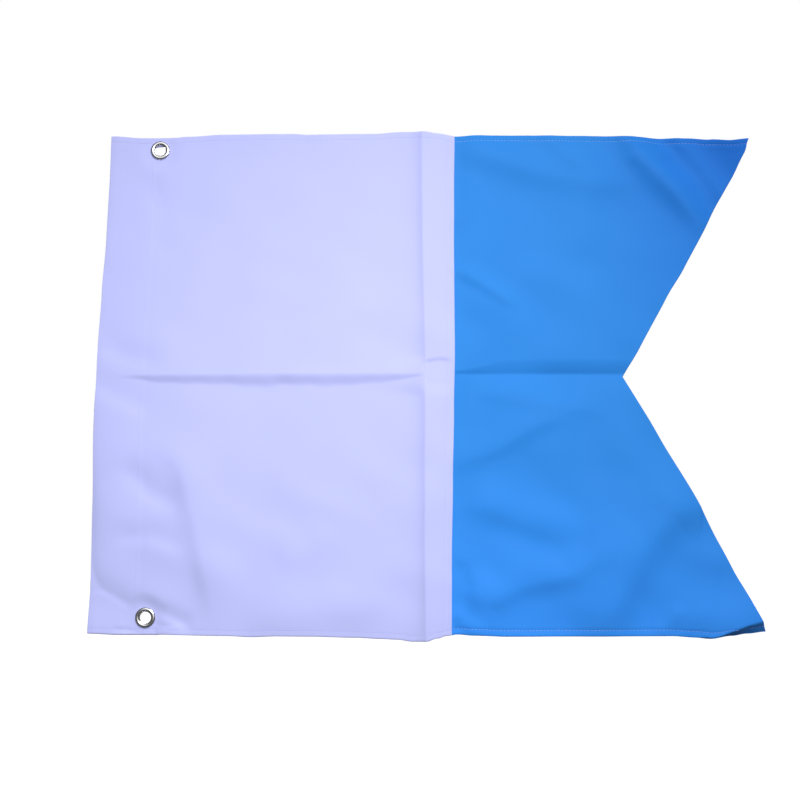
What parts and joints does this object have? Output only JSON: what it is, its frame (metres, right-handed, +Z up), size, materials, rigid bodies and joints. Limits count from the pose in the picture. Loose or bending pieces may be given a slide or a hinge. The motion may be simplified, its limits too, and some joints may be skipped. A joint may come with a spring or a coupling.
{
  "type": "signal flag",
  "caption": "Swallow-tailed signal flag with a white hoist panel, a blue fly panel and eyelets at the hoist; it folds in half along its pressed crease.",
  "frame": {"origin": "midway between the centres of the two eyelets, in the middle of the white cloth's thickness", "axes": "+X from the hoist edge to the tails, +Z up the hoist, -Y out of the front of the flag"},
  "size_m": [0.45, 0.0032, 0.35],
  "materials": {
    "white_cloth": "smooth coated cloth, soft sheen",
    "blue_cloth": "smooth coated cloth, soft sheen",
    "white_thread": "twisted polyester thread",
    "nickel": "bright nickel plate"
  },
  "bodies": {
    "hoist_half": {"white_panel_hoist_side": "white_cloth", "upper_eyelet": "nickel", "upper_eyelet_washer": "nickel", "lower_eyelet": "nickel", "lower_eyelet_washer": "nickel", "top_hem_thread_hoist_side": "white_thread", "bottom_hem_thread_hoist_side": "white_thread", "heading_thread": "white_thread"},
    "fly_half": {"white_panel_seam_side": "white_cloth", "blue_panel": "blue_cloth", "top_hem_thread_fly_side": "white_thread", "bottom_hem_thread_fly_side": "white_thread", "seam_edge_thread": "white_thread", "seam_inner_thread": "white_thread"}
  },
  "joints": [
    {"name": "lengthwise_fold", "type": "hinge", "parent": "hoist_half", "child": "fly_half", "pos_m": [0.19, 0.0014, 0], "axis": [0, 0, 1], "range_deg": [0, 180]}
  ]
}
